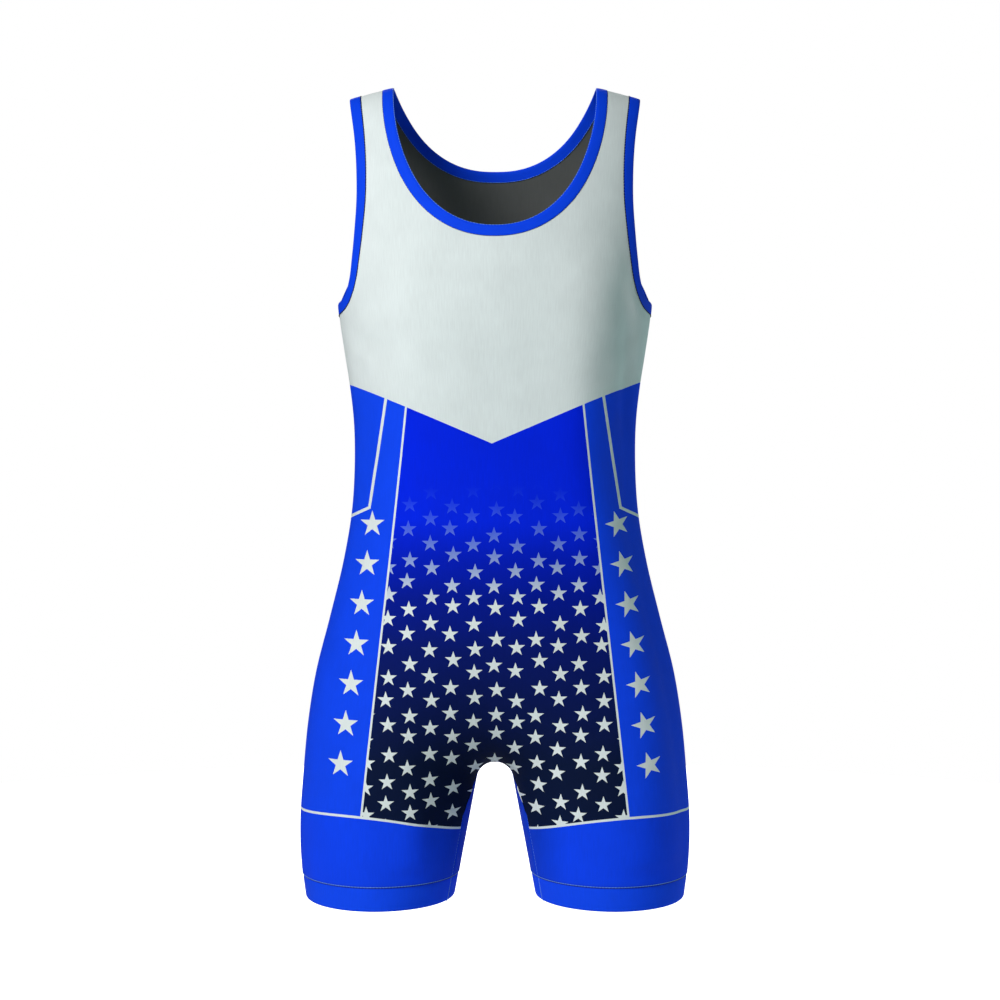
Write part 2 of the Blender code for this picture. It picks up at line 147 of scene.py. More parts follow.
def gapDistance(across, drop):
    rise, splay = gapCentre - drop, body["gapSplay"]
    straight = across * math.sin(splay) + rise * math.cos(splay)
    beside = np.arctan2(across, rise) > splay
    return np.where(beside, straight, np.hypot(across, rise)) - body["gapRadius"]


def gapEdge(along, distance):
    # along: 0 at the crotch, 1 where the round top ends, 2 at the hem seam
    reach = body["gapRadius"] + distance
    angle = min(along, 1) * body["gapSplay"]
    across, drop = reach * math.sin(angle), gapCentre - reach * math.cos(angle)
    length = max(along - 1, 0) * (body["hemSeam"] - drop)
    return across + length / math.tan(body["gapSplay"]), drop + length


def thighMiddle(drop):
    return (halfWidth(drop) + gapSide(drop)) / 2


def deepestAt(drop):
    return thighMiddle(drop) * smoothRise(*body["splits"], drop)


def clothPoint(turn, down):
    drop = dropOf(down)
    across = acrossOf(turn, drop)
    slope = np.maximum(across - body["slopeStarts"], 0) / body["slopeSpan"]
    keeps = 1 - smoothRise(*body["slopeFades"], drop)
    fall = body["slopeDrop"] * slope ** body["slopeCurve"] * keeps

    deepest = deepestAt(drop)
    reach = halfWidth(drop) - deepest
    thigh = smoothRise(*body["splits"], drop)
    fullness = body["torsoFullness"] + (body["thighFullness"] - body["torsoFullness"]) * thigh
    toSide = np.clip((across - deepest) / reach, 0, 1)
    toGap = np.clip(gapDistance(across, drop) / reach, 0, 1)
    sideCurve = (1 - toSide**fullness) ** (1 / fullness)
    gapCurve = np.sqrt(1 - (1 - toGap) ** 2)
    archCurve = np.sin(np.minimum(np.abs(down) / body["arch"], quarter))
    front, back = (smoothLookup(sectionDrops, depths, drop) for depths in (frontDepths, backDepths))
    depth = np.where(down >= 0, -front, back) * sideCurve * gapCurve * archCurve
    return np.stack(np.broadcast_arrays(across, depth, -drop - fall), axis=-1)


def slopesAt(turn, down):
    # how a point moves with its place, by turn and by down
    turnStep, downStep = np.where(turn > quarter / 2, -1e-4, 1e-4), 1e-5
    here = clothPoint(turn, down)
    byTurn = (clothPoint(turn + turnStep, down) - here) / turnStep[..., None]
    return byTurn, (clothPoint(turn, down + downStep) - here) / downStep


def clothNormal(turn, down):
    normal = -np.cross(*slopesAt(turn, down))
    return normal / np.linalg.norm(normal, axis=-1, keepdims=True)


# Edges of the cut pieces.

seams = {
    "steps": (0.8 * mm, 2.0 * mm, 4.0 * mm),  # the last rows of faces before a seam
    "dips": (-0.75 * mm, -0.3 * mm, 0.06 * mm, 0.1 * mm),  # how the cloth rolls down into it
    "gap": 0.1 * mm,
}
lengths = {  # what those steps are shares of
    "inseam": 96 * mm,
    "halfGusset": 26 * mm,
    "halfHem": 230 * mm,
    "thighSide": 143 * mm,
}
counts = {  # faces across and up half a panel: a thigh, a belly, a breast and a strap
    "neck": 18,
    "strap": 12,
    "armhole": 18,
    "crotch": 9,
    "bellyRows": 66,
    "breastRows": 21,
    "strapRows": 42,
    "roundRows": 9,
    "straightRows": 21,
    "roundShare": 0.5,
    "gusset": 10,
}
lineSamples = 200  # points that an edge is first drawn with
almost = 1e-6
acrossPanel = counts["neck"] + counts["strap"] + counts["armhole"]
thighRows = counts["roundRows"] + counts["straightRows"]


def spaced(length, count, first=False, last=False):
    # shares of a line, even but for the short steps beside a seam
    start = [0.0] + [step / length for step in seams["steps"]] * first
    end = [1 - step / length for step in seams["steps"][::-1]] * last + [1.0]
    middle = np.linspace(start[-1], end[0], count + 3 - len(start) - len(end))[1:-1]
    return np.concatenate([start, middle, end])


def lengthsAlong(points):
    steps = np.linalg.norm(np.diff(points, axis=0), axis=1)
    return np.concatenate([[0], np.cumsum(np.nan_to_num(steps))])


def alongLine(places, count, **seamEnds):
    along = lengthsAlong(clothPoint(*places.T))
    at = spaced(along[-1], count, **seamEnds) * along[-1]
    return np.stack([np.interp(at, along, part) for part in places.T], axis=1)


def straightLine(start, end, count, facing, **seamEnds):
    share = np.sin(np.linspace(0, quarter, lineSamples))
    across, drop = (a + (b - a) * share for a, b in zip(start, end))
    return alongLine(placesAt(across, drop, facing), count, **seamEnds)


def neckEdge(facing, count, **seamEnds):
    cut = necklines[facing]
    share = np.cos(np.linspace(0, quarter, lineSamples)) ** 2
    share[-1] = 0
    bowl = cut["bowl"] * (1 - share ** cut["roundness"]) ** (1 / cut["corner"])
    across = bowl + cut["flare"] * (1 - share)
    return alongLine(placesAt(across, share * cut["depth"], facing), count, **seamEnds)


def armholeEdge(facing, count, **seamEnds):
    drops = body["armpit"] * np.cos(np.linspace(0, quarter, lineSamples)) ** 2
    drops[-1] = 0
    table = np.array(list(armholes[facing].items())) * mm
    across = smoothLookup(*table.T, drops)
    across[0] = halfWidth(body["armpit"])
    return alongLine(placesAt(across, drops, facing), count, **seamEnds)


def inset(edge, width, outwards):
    # the edge moved over the cloth, away from its opening
    points = clothPoint(*edge.T)
    moved = []
    for i, (turn, down) in enumerate(edge):
        along = points[min(i + 1, len(points) - 1)] - points[max(i - 1, 0)]
        atCentre, atSide = turn < almost, turn > quarter - almost
        if atCentre:  # it crosses the centre squarely
            along = np.array([1.0, 0.0, 0.0])
        if atSide or i == len(edge) - 1:  # and the side and the shoulder too
            along = np.array([0.0, 1.0, 0.0])
        byTurn, byDown = slopesAt(turn, down)
        aside = np.cross(np.cross(byTurn, byDown), along)
        step = np.linalg.lstsq(np.stack([byTurn, byDown], axis=1), aside, rcond=None)[0]
        if atCentre or atSide:
            step[0] = 0.0
        lies = np.array([outwards * np.linalg.norm(byTurn), math.copysign(1, down)])
        step *= math.copysign(1, step @ lies)
        length = width / np.linalg.norm(aside)
        for _ in range(6):  # the width is measured straight, so the step is corrected
            reached = clothPoint(turn + step[0] * length, down + step[1] * length) - points[i]
            length *= width / np.linalg.norm(reached)
        moved.append((turn + step[0] * length, down + step[1] * length))
    return np.array(moved)


def seamStations():
    # along the gap between the thighs, from the crotch to the hem seam
    crotch = np.linspace(0, counts["roundShare"], counts["crotch"] + 1)
    rest = np.linspace(counts["roundShare"], 1, counts["roundRows"] + 1)[1:]
    straight = 1 + spaced(lengths["inseam"], counts["straightRows"], last=True)[1:]
    return np.concatenate([crotch, rest, straight])


def gussetPlace(along, share, facing, spare=0.0):
    # a place on the insert, which narrows towards the crotch; share is 1 at its edge
    wide = float(smoothRise(*body["gussetWidens"], along))
    angle = body["crotchAngle"] + (body["gussetAngle"] - body["crotchAngle"]) * wide
    angle *= share
    drop = gapEdge(along, 0)[1]
    reach = (halfWidth(drop) - deepestAt(drop)) * (1 - math.cos(angle))
    across, drop = gapEdge(along, reach + spare * math.sin(angle))
    return placesAt(across, drop, facing)


def thighPlace(angle, drop, facing):
    middle = thighMiddle(drop)
    half = halfWidth(drop) - middle
    return placesAt(middle - half * np.cos(angle), drop, facing)


def filled(bottom, top, left, right):
    # rows of places that fill a four-sided block
    u = np.linspace(0, 1, len(bottom))[None, :, None]
    v = np.linspace(0, 1, len(left))[:, None, None]
    rows = (1 - v) * bottom + v * top + (1 - u) * left[:, None] + u * right[:, None]
    ends = (1 - v) * ((1 - u) * bottom[0] + u * bottom[-1])
    return rows - ends - v * ((1 - u) * top[0] + u * top[-1])


def seamDips(*steps):
    # how deep each point dips, so many steps from its seams
    depths = np.array([*seams["dips"], 0.0])
    return depths[np.clip(np.minimum.reduce(steps), 0, len(seams["dips"]))]


# Laying cloth on the body: a grid is moved onto it, half a piece at a time.

weldDistance = 0.02 * mm


def layGrid(points, flatMap, dips=None):
    # points that are nan are cut away; flatMap is the cloth's own flat map, in metres
    rows, columns = points.shape[0] - 1, points.shape[1] - 1
    bm = bmesh.new()
    bmesh.ops.create_grid(bm, x_segments=columns, y_segments=rows, size=0.5)
    uv = bm.loops.layers.uv.new("cloth")
    dip = bm.verts.layers.float.new("dip")
    bm.verts.index_update()
    cells = [(round((v.co.y + 0.5) * rows), round((v.co.x + 0.5) * columns)) for v in bm.verts]
    for face in bm.faces:
        face.smooth = True
        for loop in face.loops:
            loop[uv].uv = np.nan_to_num(flatMap[cells[loop.vert.index]])
    outside = []
    for vert, cell in zip(bm.verts, cells):
        if np.isnan(points[cell]).any():
            outside.append(vert)
        else:
            vert.co = points[cell]
            vert[dip] = dips[cell] if dips is not None else 0
    bmesh.ops.delete(bm, geom=outside, context="VERTS")
    return bm


def mirrorHalf(bm):
    uv = bm.loops.layers.uv["cloth"]
    whole = bm.verts[:] + bm.edges[:] + bm.faces[:]
    bmesh.ops.mirror(bm, geom=whole, matrix=Matrix(), merge_dist=weldDistance, axis="X")
    for face in bm.faces:
        if face.calc_center_median().x < 0:
            for loop in face.loops:
                loop[uv].uv = (-loop[uv].uv.x, loop[uv].uv.y)


def turnOutwards(bm, near, outwards):
    # the vertex nearest to a point looks the given way, and the rest follow it
    bmesh.ops.remove_doubles(bm, verts=bm.verts, dist=weldDistance)
    bmesh.ops.recalc_face_normals(bm, faces=bm.faces)
    vert = min(bm.verts, key=lambda v: (v.co - Vector(near)).length_squared)
    if vert.normal.dot(Vector(outwards)) < 0:
        bmesh.ops.reverse_faces(bm, faces=bm.faces)
    bm.normal_update()


def moveAlongNormals(bm, heights=0):
    # by the height of the folds, and by the dips beside the seams
    dip = bm.verts.layers.float["dip"]
    amounts = np.array([vert[dip] for vert in bm.verts]) + heights
    normals = [vert.normal.copy() for vert in bm.verts]
    for vert, normal, amount in zip(bm.verts, normals, amounts):
        vert.co += normal * amount
    bm.normal_update()


def addObject(name, data):
    added = bpy.data.objects.new(name, data)
    bpy.context.collection.objects.link(added)
    return added


def meshOf(name, bm):
    mesh = bpy.data.meshes.new(name)
    bm.to_mesh(mesh)
    bm.free()
    return mesh


def settledMesh(piece):
    # what its modifiers make of it
    bpy.context.view_layer.update()
    settled = piece.evaluated_get(bpy.context.evaluated_depsgraph_get())
    return bpy.data.meshes.new_from_object(settled)


def finishPiece(name, bm, materials, wall=0, sharpAngle=50):
    # a second material is for the inside of the wall
    piece = addObject(name, meshOf(name, bm))
    for material in materials:
        piece.data.materials.append(material)
    if wall:
        layer = piece.modifiers.new("wall", "SOLIDIFY")
        layer.thickness = wall
        layer.offset = -1
        layer.use_even_offset = True
        layer.material_offset = len(materials) - 1
        piece.data = settledMesh(piece)
        piece.modifiers.clear()
    piece.data.set_sharp_from_angle(angle=math.radians(sharpAngle))
    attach(piece, "root")
    return piece


def stripMap(points):
    # the flat map of a strip: across its columns and up its rows
    return np.stack(np.meshgrid(lengthsAlong(points[0]), lengthsAlong(points[:, 0])), axis=-1)


# Finishes. Every cloth is a fine warp knit, with loops in columns down the piece.


def addNode(tree, kind, *inputs, **settings):
    node = tree.nodes.new("ShaderNode" + kind)
    for name, value in settings.items():
        setattr(node, name, value)
    for socket, value in zip(node.inputs, inputs):
        if isinstance(value, bpy.types.NodeSocket):
            tree.links.new(value, socket)
        elif value is not None:
            socket.default_value = value
    return node


def maths(tree, operation, *inputs):
    return addNode(tree, "Math", *inputs, operation=operation).outputs[0]


def times(tree, *inputs):
    return maths(tree, "MULTIPLY", *inputs)


def minus(tree, *inputs):
    return maths(tree, "SUBTRACT", *inputs)


def mixed(tree, share, first, second, way="MIX"):
    return addNode(tree, "MixRGB", share, first, second, blend_type=way).outputs[0]


def remap(tree, value, fromLow, fromHigh, toLow, toHigh):
    return addNode(tree, "MapRange", value, fromLow, fromHigh, toLow, toHigh).outputs[0]


def noise(tree, place, stretch, detail=2.0):
    spread = addNode(tree, "VectorMath", place, stretch, operation="MULTIPLY").outputs[0]
    return addNode(tree, "TexNoise", spread, None, 1.0, detail).outputs[0]


def varied(tree, value, middle, depth, span=(0.3, 0.7)):
    # a noise made into a value that goes a little under and over its middle
    return remap(tree, value, *span, middle - depth, middle + depth)


def newMaterial(name):
    material = bpy.data.materials.new(name)
    material.use_nodes = True
    return material, material.node_tree


def dyedMaterial(material, dyed, shade, height, finish, gloss, specular):
    # knit and thread alike: a shaded colour, a relief and a varying gloss
    tree = material.node_tree
    shader = tree.nodes["Principled BSDF"]
    relief = addNode(tree, "Bump", finish["bump"], finish["relief"])
    tree.links.new(height, relief.inputs["Height"])
    tree.links.new(relief.outputs[0], shader.inputs["Normal"])
    tree.links.new(mixed(tree, 1.0, dyed, shade, "MULTIPLY"), shader.inputs["Base Color"])
    tree.links.new(gloss, shader.inputs["Roughness"])
    shader.inputs["Specular IOR Level"].default_value = specular
    return material


knit = {
    "wale": 0.9 * mm,  # one column of loops
    "course": 0.7 * mm,  # one row of loops
    "ribHeight": 0.6,
    "courseHeight": 0.25,
    "relief": 0.15 * mm,
    "bump": 0.35,
    "streaks": (900, 60, 1),  # per metre, across and along
    "streakDepth": 0.035,
    "mottle": (28, 28, 28),
    "mottleDepth": 0.03,
    "glossVaries": 0.06,
}


def knitMaterial(name, colour, roughness=0.75, specular=0.04):
    # colour is a value, or a function that builds the print's nodes
    material, tree = newMaterial(name)
    flat = addNode(tree, "UVMap", uv_map="cloth").outputs[0]
    place = addNode(tree, "TexCoord").outputs["Object"]

    thread = noise(tree, flat, knit["streaks"], 3.0)
    worn = noise(tree, place, knit["mottle"])
    streak = varied(tree, thread, 1, knit["streakDepth"])
    patch = varied(tree, worn, 1, knit["mottleDepth"])
    shade = times(tree, streak, patch)
    dyed = colour(tree) if callable(colour) else (*colour, 1)

    split = addNode(tree, "SeparateXYZ", flat)
    columns = maths(tree, "DIVIDE", split.outputs[0], knit["wale"])
    courses = maths(tree, "DIVIDE", split.outputs[1], knit["course"])
    leg = maths(tree, "PINGPONG", columns, 0.5)
    rib = maths(tree, "SINE", times(tree, leg, math.tau))
    slant = maths(tree, "ADD", courses, leg)
    loop = maths(tree, "SINE", times(tree, slant, math.tau))
    ribs = times(tree, rib, knit["ribHeight"])
    height = maths(tree, "MULTIPLY_ADD", loop, knit["courseHeight"], ribs)
    gloss = varied(tree, worn, roughness, knit["glossVaries"], (0.25, 0.75))
    return dyedMaterial(material, dyed, shade, height, knit, gloss, specular)


twist = {  # twisted thread: fine uneven ridges, and a little lighter and darker
    "ridges": (3000, 3000, 3000),  # per metre
    "shadeVaries": 0.2,
    "relief": 0.05 * mm,
    "bump": 0.3,
    "roughness": 0.6,
    "glossVaries": 0.1,
    "specular": 0.2,
}


def threadMaterial(name, colour):
    material, tree = newMaterial(name)
    place = addNode(tree, "TexCoord").outputs["Object"]
    ridges = noise(tree, place, twist["ridges"])
    shade = varied(tree, ridges, 1, twist["shadeVaries"])
    gloss = varied(tree, ridges, twist["roughness"], twist["glossVaries"], (0.2, 0.8))
    return dyedMaterial(material, (*colour, 1), shade, ridges, twist, gloss, twist["specular"])


# The print, and a painted shade on the inner thighs, in millimetres on the cloth: across from the
# centre, and up from the shoulders (so all heights are minus).

printed = {
    "tip": -366.3,
    "slant": 0.428,
    "tipAside": 2.8,
    "pinstripe": (86.0, -329.0, 0.109, 1.0),  # across at a height, its lean and half its width
    "outerStripe": (106.6, -322.7, 0.165, 1.45),
    "outerEnds": -428.4,
    "shortLeg": (124.0, 0.41, 1.55, 1.4),  # its corner, lean, half width, and how far it passes it
    "thighLine": (-728.5, 0.0015, 150.0, 1.2),  # height, bend, where it is highest, half width
    "sideStars": (120.7, -444.6, 39.0, 7, 13.4),  # the first one's place, step, count and radius
    "sideStarsLean": 0.1278,
    "sideStarsTurn": math.radians(17),
    "starSpacing": (20.8, 25.1),
    "starJitter": (2.0, 3.6),
    "starRadius": 8.6,
    "starsFadeIn": (-405, -522.5),
    "starsFadeSlowly": 1.35,
    "faintStars": (0.08, 0.30, 0.80),  # the lowest stars
    "pale": (0.68, 0.775, 0.755),
    "sides": (0.0048, 0.060, 0.82),
    "legs": (0.0042, 0.0545, 0.82),
    # painted shade: the legs' blue darkens towards the gap between the thighs, and the insert there
    # takes this colour
    "paintedThighShade": (0.0036, 0.046, 0.60),
    "paintedThighShadeFade": (72, 42),
    "middle": {  # height: colour, from navy at the crotch to blue at the waist
        -678: (0.0026, 0.0082, 0.036),
        -615: (0.0022, 0.0082, 0.080),
        -566: (0.0018, 0.0088, 0.135),
        -517: (0.0005, 0.0091, 0.2623),
        -479: (0.0003, 0.0116, 0.456),
        -440: (0.0003, 0.0176, 0.73),
    },
}


def starMask(tree, across, up, radius, turn=0):
    # each point of a five-pointed star is a wedge cut off by a straight edge
    halfPoint = math.radians(36)
    angle = maths(tree, "ADD", maths(tree, "ARCTAN2", across, up), turn)
    angle = maths(tree, "PINGPONG", angle, halfPoint)
    both = addNode(tree, "CombineXYZ", across, up).outputs[0]
    reach = addNode(tree, "VectorMath", both, operation="LENGTH").outputs["Value"]
    toEdge = maths(tree, "COSINE", minus(tree, 2 * halfPoint, angle))
    edge = times(tree, reach, toEdge)
    return maths(tree, "LESS_THAN", edge, radius * math.cos(2 * halfPoint))


def leaningLine(tree, up, line):
    across, height, lean, _ = line
    return maths(tree, "MULTIPLY_ADD", up, -lean, across + lean * height)


def sideStars(tree, x, across, up):
    # a column of large stars down each side, turned a little on the wearer's left
    first, height, step, count, radius = printed["sideStars"]
    number = maths(tree, "ROUND", maths(tree, "DIVIDE", minus(tree, height, up), step))
    number = addNode(tree, "Clamp", number, 0, count - 1).outputs[0]
    dropped = times(tree, number, step)
    centre = maths(tree, "MULTIPLY_ADD", dropped, printed["sideStarsLean"], first)
    aside = minus(tree, across, centre)
    above = maths(tree, "ADD", minus(tree, up, height), dropped)
    turn = times(tree, maths(tree, "GREATER_THAN", x, 0), printed["sideStarsTurn"])
    return starMask(tree, aside, above, radius, turn)


def starField(tree, x, up):
    # staggered rows of small stars, each a little off its place
    wide, high = printed["starSpacing"]
    column = maths(tree, "ROUND", maths(tree, "DIVIDE", x, wide))
    stagger = times(tree, maths(tree, "PINGPONG", column, 1), 0.5)
    row = maths(tree, "ROUND", maths(tree, "MULTIPLY_ADD", up, 1 / high, stagger))
    cell = addNode(tree, "CombineXYZ", column, row, 3).outputs[0]
    chance = addNode(tree, "TexWhiteNoise", cell).outputs["Color"]
    shift = addNode(tree, "SeparateXYZ", chance)
    jitterX, jitterUp = printed["starJitter"]
    shiftX = remap(tree, shift.outputs[0], 0, 1, -jitterX, jitterX)
    centreX = maths(tree, "MULTIPLY_ADD", column, wide, shiftX)
    centreUp = times(tree, minus(tree, row, stagger), high)
    shiftUp = remap(tree, shift.outputs[1], 0, 1, -jitterUp, jitterUp)
    centreUp = maths(tree, "ADD", centreUp, shiftUp)
    aside, above = minus(tree, x, centreX), minus(tree, up, centreUp)
    stars = starMask(tree, aside, above, printed["starRadius"])
    fade = remap(tree, up, *printed["starsFadeIn"], 0, 1)
    fade = maths(tree, "POWER", fade, printed["starsFadeSlowly"])
    return times(tree, stars, fade), fade


def paintPrint(tree, withStars):
    place = addNode(tree, "TexCoord").outputs["Object"]
    place = addNode(tree, "VectorMath", place, [1 / mm] * 3, operation="MULTIPLY")
    split = addNode(tree, "SeparateXYZ", place.outputs[0])
    x, up = split.outputs["X"], split.outputs["Z"]
    across = maths(tree, "ABSOLUTE", x)

    tones = list(printed["middle"].items())
    share = remap(tree, up, tones[0][0], tones[-1][0], 0, 1)
    ramp = addNode(tree, "ValToRGB", share)
    for number, (height, tone) in enumerate(tones):
        at = (height - tones[0][0]) / (tones[-1][0] - tones[0][0])
        stop = ramp.color_ramp.elements[number] if number < 2 else ramp.color_ramp.elements.new(at)
        stop.position, stop.color = at, (*tone, 1)
    middle, sides, pale = ramp.outputs[0], (*printed["sides"], 1), (*printed["pale"], 1)
    if withStars:
        stars, fade = starField(tree, x, up)
        middle = mixed(tree, stars, middle, mixed(tree, fade, (*printed["faintStars"], 1), pale))
        sides = mixed(tree, sideStars(tree, x, across, up), sides, pale)

    outerAt = leaningLine(tree, up, printed["outerStripe"])
    outer = maths(tree, "COMPARE", across, outerAt, printed["outerStripe"][3])
    outer = times(tree, outer, maths(tree, "GREATER_THAN", up, printed["outerEnds"]))
    corner, legLean, legHalf, legPasses = printed["shortLeg"]
    legHeight = printed["outerEnds"] + legLean * corner
    legAt = maths(tree, "MULTIPLY_ADD", across, -legLean, legHeight)
    leg = maths(tree, "COMPARE", up, legAt, legHalf)
    leg = times(tree, leg, maths(tree, "GREATER_THAN", across, corner - legPasses))
    sides = mixed(tree, maths(tree, "MAXIMUM", outer, leg), sides, pale)

    pinstripeAt = leaningLine(tree, up, printed["pinstripe"])
    inMiddle = maths(tree, "LESS_THAN", across, pinstripeAt)
    colour = mixed(tree, inMiddle, sides, middle)
    pinstripe = maths(tree, "COMPARE", across, pinstripeAt, printed["pinstripe"][3])
    colour = mixed(tree, pinstripe, colour, pale)

    lineUp, lineBend, lineMiddle, lineHalf = printed["thighLine"]
    off = minus(tree, across, lineMiddle)
    thighAt = maths(tree, "MULTIPLY_ADD", times(tree, off, off), -lineBend, lineUp)
    # painted shade on the legs, darker nearer the gap between the thighs
    inner = remap(tree, across, *printed["paintedThighShadeFade"], 0, 1)
    legs = mixed(tree, inner, (*printed["legs"], 1), (*printed["paintedThighShade"], 1))
    colour = mixed(tree, maths(tree, "LESS_THAN", up, thighAt), colour, legs)
    colour = mixed(tree, maths(tree, "COMPARE", up, thighAt, lineHalf), colour, pale)

    aside = maths(tree, "ABSOLUTE", maths(tree, "ADD", x, printed["tipAside"]))
    chestAt = maths(tree, "MULTIPLY_ADD", aside, printed["slant"], printed["tip"])
    return mixed(tree, maths(tree, "GREATER_THAN", up, chestAt), colour, pale)


plain = {  # the colours of what isn't printed
    # painted shade: the inside is coloured the dark charcoal of the shade within the garment
    "inside": (0.085, 0.094, 0.089),
    "binding": (0.003, 0.058, 0.81),
    "armholeBinding": (0.003, 0.055, 0.77, 1),
    "turnedUnderShade": (0.002, 0.038, 0.50, 1),  # painted shade: the side of an armhole's binding that lies inside, kept darker than its face
    "turnsUnder": (13.8 * mm, 14.8 * mm),  # across the binding, where one goes over to the other
    "hem": (0.005, 0.064, 0.83),
    # the seams' light thread, also used as a painted highlight along the neck binding's fold
    "seamAndHighlightThread": (0.15, 0.34, 0.70),
    # painted shadow: dark stitches laid along a binding's sewn edge, where the seam's shade falls
    "shadowLineThread": (0.004, 0.008, 0.035),
    # painted shadow: a row of blue stitches just under the hem seam
    "hemShadowThread": (0.004, 0.026, 0.40),
}


# the armhole binding's blue, with painted shade on the side that lies inside
def armholeShadedColour(tree):
    flat = addNode(tree, "UVMap", uv_map="cloth").outputs[0]
    fromEdge = addNode(tree, "SeparateXYZ", flat).outputs[0]
    # where the binding turns under, the painted shade takes over
    under = remap(tree, fromEdge, *plain["turnsUnder"], 0, 1)
    return mixed(tree, under, plain["armholeBinding"], plain["turnedUnderShade"])


printFront = knitMaterial("printFront", lambda tree: paintPrint(tree, True))
printBack = knitMaterial("printBack", lambda tree: paintPrint(tree, False))
# the inside of every wall, in the painted shade colour
insideShadeKnit = knitMaterial("insideShadeKnit", plain["inside"], roughness=0.85, specular=0.05)
# the insert between the thighs is coloured with the painted thigh shade
gussetKnit = knitMaterial("gussetKnit", printed["paintedThighShade"])
bindingKnit = knitMaterial("bindingKnit", plain["binding"], roughness=0.7, specular=0.05)
armholeKnit = knitMaterial("armholeKnit", armholeShadedColour, roughness=0.7, specular=0.05)
hemKnit = knitMaterial("hemKnit", plain["hem"])
threads = [threadMaterial(name, plain[name]) for name in ("seamAndHighlightThread", "shadowLineThread", "hemShadowThread")]
print("finishes made")

# Front and back panels, body and thighs in one.

panel = {
    "wall": 0.9 * mm,
    "quarterGirth": 0.25,
    "underBinding": 8.5 * mm,  # the cut edge lies this far in from the binding's fold
    "foldsGrow": (8 * mm, 24 * mm),  # away from a seam or a binding
    "foldEnds": (0.35, 0.1),  # how much of a fold is left at its ends, and how long it stays so
}
footRow = thighRows + counts["bellyRows"] + counts["breastRows"]
lastRow = footRow + counts["strapRows"]


def panelPlaces(facing):
    inner, neckColumns, armholeColumns = counts["crotch"], counts["neck"], counts["armhole"]
    neck = neckEdge(facing, neckColumns + counts["strapRows"], last=True)
    armhole = armholeEdge(facing, armholeColumns + counts["strapRows"], first=True, last=True)
    neck = inset(neck, panel["underBinding"], 1)
    armhole = inset(armhole, panel["underBinding"], -1)
    neck[-1, 1] = armhole[-1, 1] = seams["gap"] * facing
    inseam = np.array([gussetPlace(along, 1, facing, seams["gap"]) for along in seamStations()])
    cornerDrop = dropOf(inseam[inner, 1])

    outerCount = acrossPanel - inner
    angles = spaced(lengths["halfHem"], outerCount, first=True, last=True)
    angles = body["gussetAngle"] + (math.pi - body["gussetAngle"]) * angles
    hem = thighPlace(angles, body["hemSeam"] - seams["gap"], facing)
    hem[0] = inseam[-1]
    innerEnd = (acrossOf(inseam[inner, 0], cornerDrop), cornerDrop)
    sideEnd = (halfWidth(body["crotchSide"]), body["crotchSide"])
    crotchSide = straightLine(innerEnd, sideEnd, outerCount, facing, first=True, last=True)
    crotchSide[0] = inseam[inner]
    crotch = np.concatenate([inseam[:inner], crotchSide])
    printEnd = (halfWidth(body["printSide"]), body["printSide"])
    colour = straightLine((0, body["printTip"]), printEnd, acrossPanel, facing, last=True)
    strapFoot = np.linspace(neck[neckColumns], armhole[armholeColumns], counts["strap"] + 1)
    top = np.concatenate([neck[:neckColumns], strapFoot, armhole[:armholeColumns][::-1]])
    shoulder = np.linspace(neck[-1], armhole[-1], counts["strap"] + 1)

    side = spaced(lengths["thighSide"], thighRows, first=True)[:, None]
    thighSide = hem[-1] + (crotch[-1] - hem[-1]) * side
    thigh = filled(hem, crotchSide, inseam[: inner - 1 : -1], thighSide)
    climb = (1 - np.cos(np.linspace(0, quarter, 2 * lineSamples)))[:, None]
    centreLine = crotch[0] + (colour[0] - crotch[0]) * climb
    centreLine = alongLine(centreLine, counts["bellyRows"], first=True)[:, 1]
    rows = (centreLine - centreLine[0]) / (centreLine[-1] - centreLine[0])
    belly = crotch + (colour - crotch) * rows[:, None, None]
    rows = np.linspace(0, 1, counts["breastRows"] + 1)
    breast = colour + (top - colour) * rows[:, None, None]
    strap = filled(strapFoot, shoulder, neck[neckColumns:], armhole[armholeColumns:])

    places = np.full((lastRow + 1, acrossPanel + 1, 2), np.nan)
    places[:thighRows, inner:] = thigh[:-1]
    places[thighRows : footRow - counts["breastRows"]] = belly[:-1]
    places[footRow - counts["breastRows"] : footRow + 1] = breast
    places[footRow + 1 :, neckColumns : neckColumns + counts["strap"] + 1] = strap[1:]
    return places


def panelMap(places):
    # down the cloth from the shoulder, and across it from the centre
    across = places[..., 0] * panel["quarterGirth"] / quarter
    return np.stack([across, -np.abs(places[..., 1])], axis=-1)


def panelDips():
    row, column = np.mgrid[0 : lastRow + 1, 0 : acrossPanel + 1]
    inseam = np.maximum(column - counts["crotch"], row - thighRows)
    return seamDips(row, lastRow - row, acrossPanel - column, inseam)


